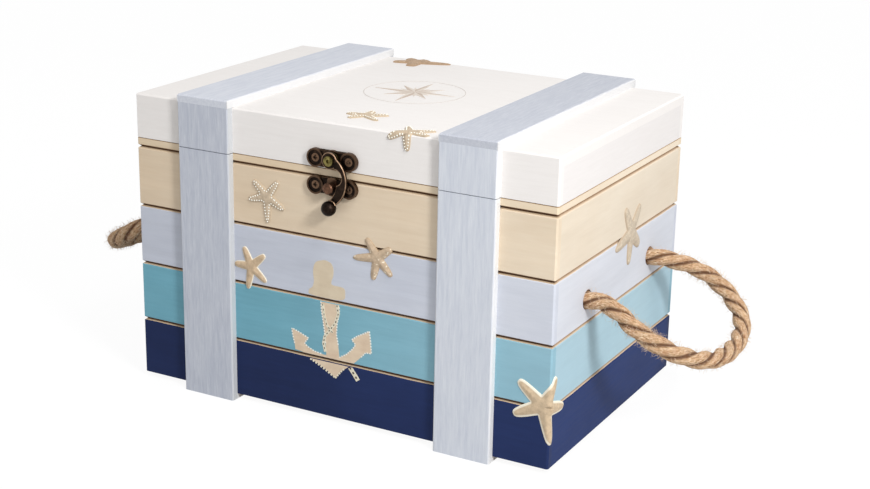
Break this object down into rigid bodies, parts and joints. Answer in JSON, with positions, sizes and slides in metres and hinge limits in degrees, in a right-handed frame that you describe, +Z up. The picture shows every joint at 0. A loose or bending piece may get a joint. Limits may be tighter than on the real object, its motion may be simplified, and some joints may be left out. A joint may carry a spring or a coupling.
{
  "type": "ditty box",
  "caption": "Small wooden keepsake chest with painted plank bands, a hinged lid, raised straps, a swing-hook latch and rope side handles.",
  "frame": {"origin": "middle of the underside of the runners, on the surface that the box stands on", "axes": "+X to the right of the latch side, the front with the latch faces -Y, +Z up"},
  "size_m": [0.3698, 0.1739, 0.1605],
  "materials": {
    "plank_paint": "matt painted bands, beige, light blue, turquoise and navy",
    "lid_paint": "matt white paint",
    "strap_paint": "matt pale blue paint with brush marks",
    "bare_wood": "bare plywood",
    "starfish": "matt printed wood",
    "bronze": "antique bronze plate",
    "rivet": "aged brass",
    "hinge_metal": "antique bronze plate",
    "rope": "three-strand laid jute"
  },
  "bodies": {
    "base": {"front_wall": "plank_paint", "back_wall": "plank_paint", "left_wall": "plank_paint", "right_wall": "plank_paint", "bottom_panel": "bare_wood", "front_strap_left": "strap_paint", "front_strap_right": "strap_paint", "back_strap_left": "strap_paint", "back_strap_right": "strap_paint", "foot_runner_left": "strap_paint", "foot_runner_right": "strap_paint", "catch_plate": "bronze", "catch_pin": "rivet", "catch_screws": "bronze", "hinge_leaf_base_left": "hinge_metal", "hinge_leaf_base_right": "hinge_metal", "hinge_pins": "hinge_metal", "hinge_screws_base": "hinge_metal", "rope_ends_left": "rope", "rope_ends_right": "rope", "starfish_front": "starfish", "starfish_corner": "starfish", "starfish_side": "starfish"},
    "lid": {"lid_panel": "lid_paint", "lid_front_rail": "lid_paint", "lid_back_rail": "lid_paint", "lid_left_rail": "lid_paint", "lid_right_rail": "lid_paint", "lid_front_strap_left": "strap_paint", "lid_front_strap_right": "strap_paint", "lid_top_strap_left": "strap_paint", "lid_top_strap_right": "strap_paint", "lid_back_strap_left": "strap_paint", "lid_back_strap_right": "strap_paint", "hinge_leaf_lid_left": "hinge_metal", "hinge_leaf_lid_right": "hinge_metal", "hinge_screws_lid": "hinge_metal", "hook_plate": "bronze", "hook_plate_screws": "bronze", "hook_rivet": "rivet", "starfish_lid": "starfish", "starfish_lid_edge": "starfish"},
    "hook": {"latch_hook": "bronze"},
    "handle_left": {"rope_handle_left": "rope"},
    "handle_right": {"rope_handle_right": "rope"}
  },
  "joints": [
    {"name": "lid_hinge", "type": "hinge", "parent": "base", "child": "lid", "pos_m": [0, 0.0845, 0.1332], "axis": [-1, 0, 0], "range_deg": [0, 180]},
    {"name": "hook_pivot", "type": "hinge", "parent": "lid", "child": "hook", "pos_m": [0, -0.0812, 0.1385], "axis": [0, -1, 0], "range_deg": [0, 180]},
    {"name": "handle_left_lift", "type": "hinge", "parent": "base", "child": "handle_left", "pos_m": [-0.12515, 0, 0.082], "axis": [0, 1, 0], "range_deg": [0, 75]},
    {"name": "handle_right_lift", "type": "hinge", "parent": "base", "child": "handle_right", "pos_m": [0.12515, 0, 0.082], "axis": [0, -1, 0], "range_deg": [0, 75]}
  ]
}
